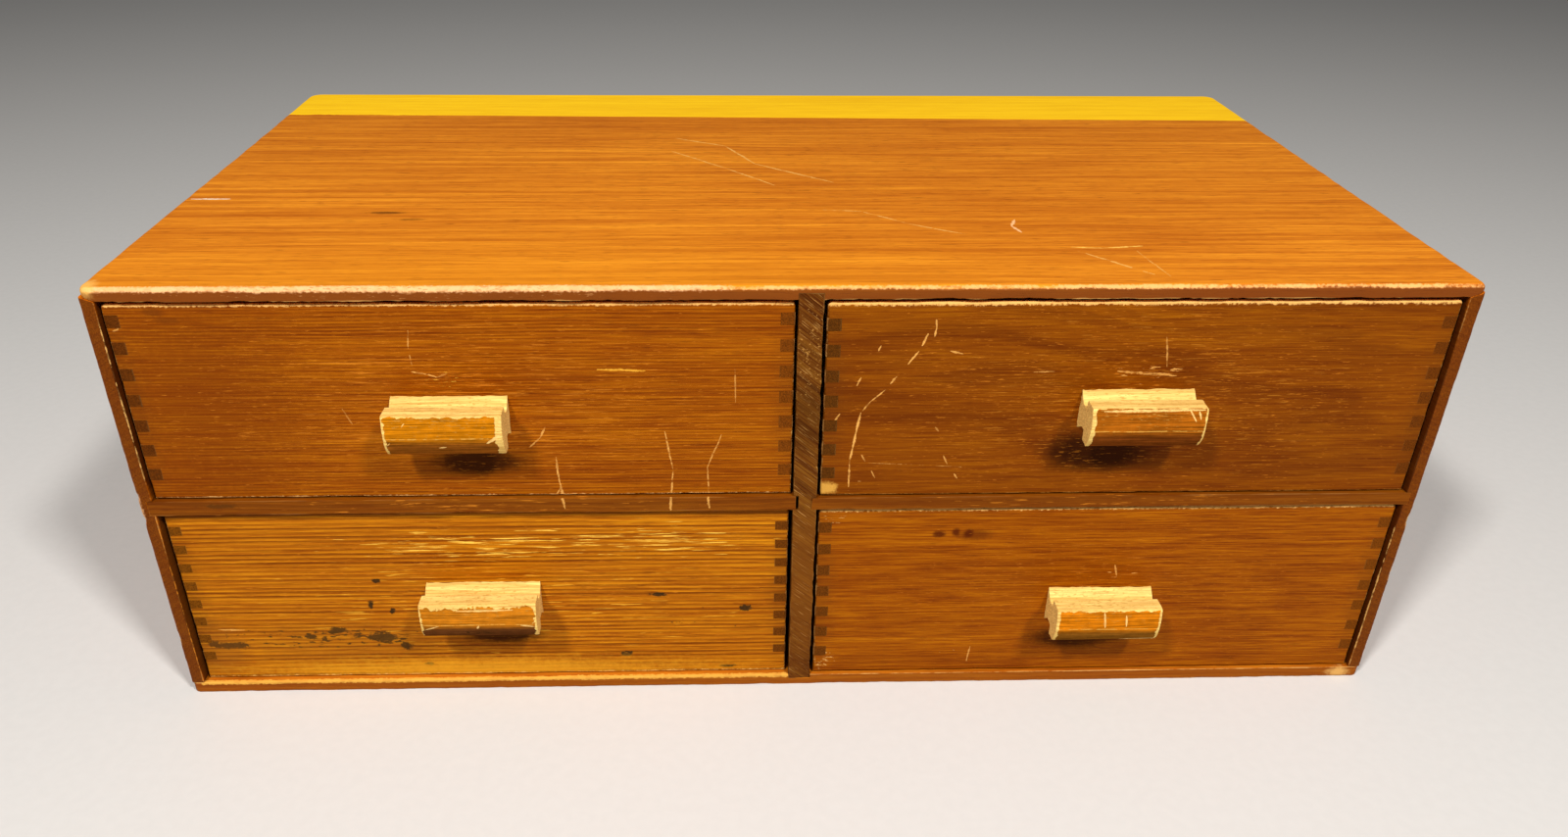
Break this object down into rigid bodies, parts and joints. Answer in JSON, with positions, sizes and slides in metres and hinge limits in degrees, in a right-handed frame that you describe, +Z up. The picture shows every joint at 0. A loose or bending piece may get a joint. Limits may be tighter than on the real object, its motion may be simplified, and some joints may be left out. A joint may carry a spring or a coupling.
{
  "type": "cigar box with drawers",
  "caption": "Low wooden box with a centre divider, a shelf on each side of it and finger-jointed drawers that slide out of the front on wooden pulls.",
  "frame": {"origin": "middle of the underside of the bottom board", "axes": "+X to the right seen from the front, +Y from the drawer fronts to the back, +Z up"},
  "size_m": [0.38, 0.2185, 0.14],
  "materials": {
    "stained_board": "orange-brown stained softwood under worn varnish",
    "light_board": "golden yellow varnished softwood",
    "dark_divider": "dark brown stained board, rough end grain in front",
    "stained_shelf": "brown stained softwood, satin",
    "plain_panel": "thin unvarnished plywood",
    "drawer_face": "orange-brown varnished straight-grained softwood with worn edges",
    "drawer_board": "plain softwood, darkened by age",
    "pull_moulding": "pale sawn softwood, varnish left on its front",
    "brad_steel": "dull steel wire"
  },
  "bodies": {
    "case": {"case_top_board": "stained_board", "case_top_back_strip": "light_board", "case_bottom_board": "stained_board", "case_left_side": "stained_board", "case_right_side": "stained_board", "case_centre_divider": "dark_divider", "case_left_shelf": "stained_shelf", "case_right_shelf": "stained_shelf", "case_back_panel": "plain_panel", "case_back_brads": "brad_steel"},
    "upper_left_drawer": {"upper_left_drawer_front": "drawer_face", "upper_left_drawer_left_side": "drawer_board", "upper_left_drawer_right_side": "drawer_board", "upper_left_drawer_back": "drawer_board", "upper_left_drawer_bottom": "plain_panel", "upper_left_pull": "pull_moulding", "upper_left_pull_brads": "brad_steel"},
    "upper_right_drawer": {"upper_right_drawer_front": "drawer_face", "upper_right_drawer_left_side": "drawer_board", "upper_right_drawer_right_side": "drawer_board", "upper_right_drawer_back": "drawer_board", "upper_right_drawer_bottom": "plain_panel", "upper_right_pull": "pull_moulding", "upper_right_pull_brads": "brad_steel"},
    "lower_left_drawer": {"lower_left_drawer_front": "drawer_face", "lower_left_drawer_left_side": "drawer_board", "lower_left_drawer_right_side": "drawer_board", "lower_left_drawer_back": "drawer_board", "lower_left_drawer_bottom": "plain_panel", "lower_left_pull": "pull_moulding", "lower_left_pull_brads": "brad_steel"},
    "lower_right_drawer": {"lower_right_drawer_front": "drawer_face", "lower_right_drawer_left_side": "drawer_board", "lower_right_drawer_right_side": "drawer_board", "lower_right_drawer_back": "drawer_board", "lower_right_drawer_bottom": "plain_panel", "lower_right_pull": "pull_moulding", "lower_right_pull_brads": "brad_steel"}
  },
  "joints": [
    {"name": "upper_left_slide", "type": "slide", "parent": "case", "child": "upper_left_drawer", "axis": [0, -1, 0], "range_m": [0, 0.16]},
    {"name": "upper_right_slide", "type": "slide", "parent": "case", "child": "upper_right_drawer", "axis": [0, -1, 0], "range_m": [0, 0.16]},
    {"name": "lower_left_slide", "type": "slide", "parent": "case", "child": "lower_left_drawer", "axis": [0, -1, 0], "range_m": [0, 0.16]},
    {"name": "lower_right_slide", "type": "slide", "parent": "case", "child": "lower_right_drawer", "axis": [0, -1, 0], "range_m": [0, 0.16]}
  ]
}
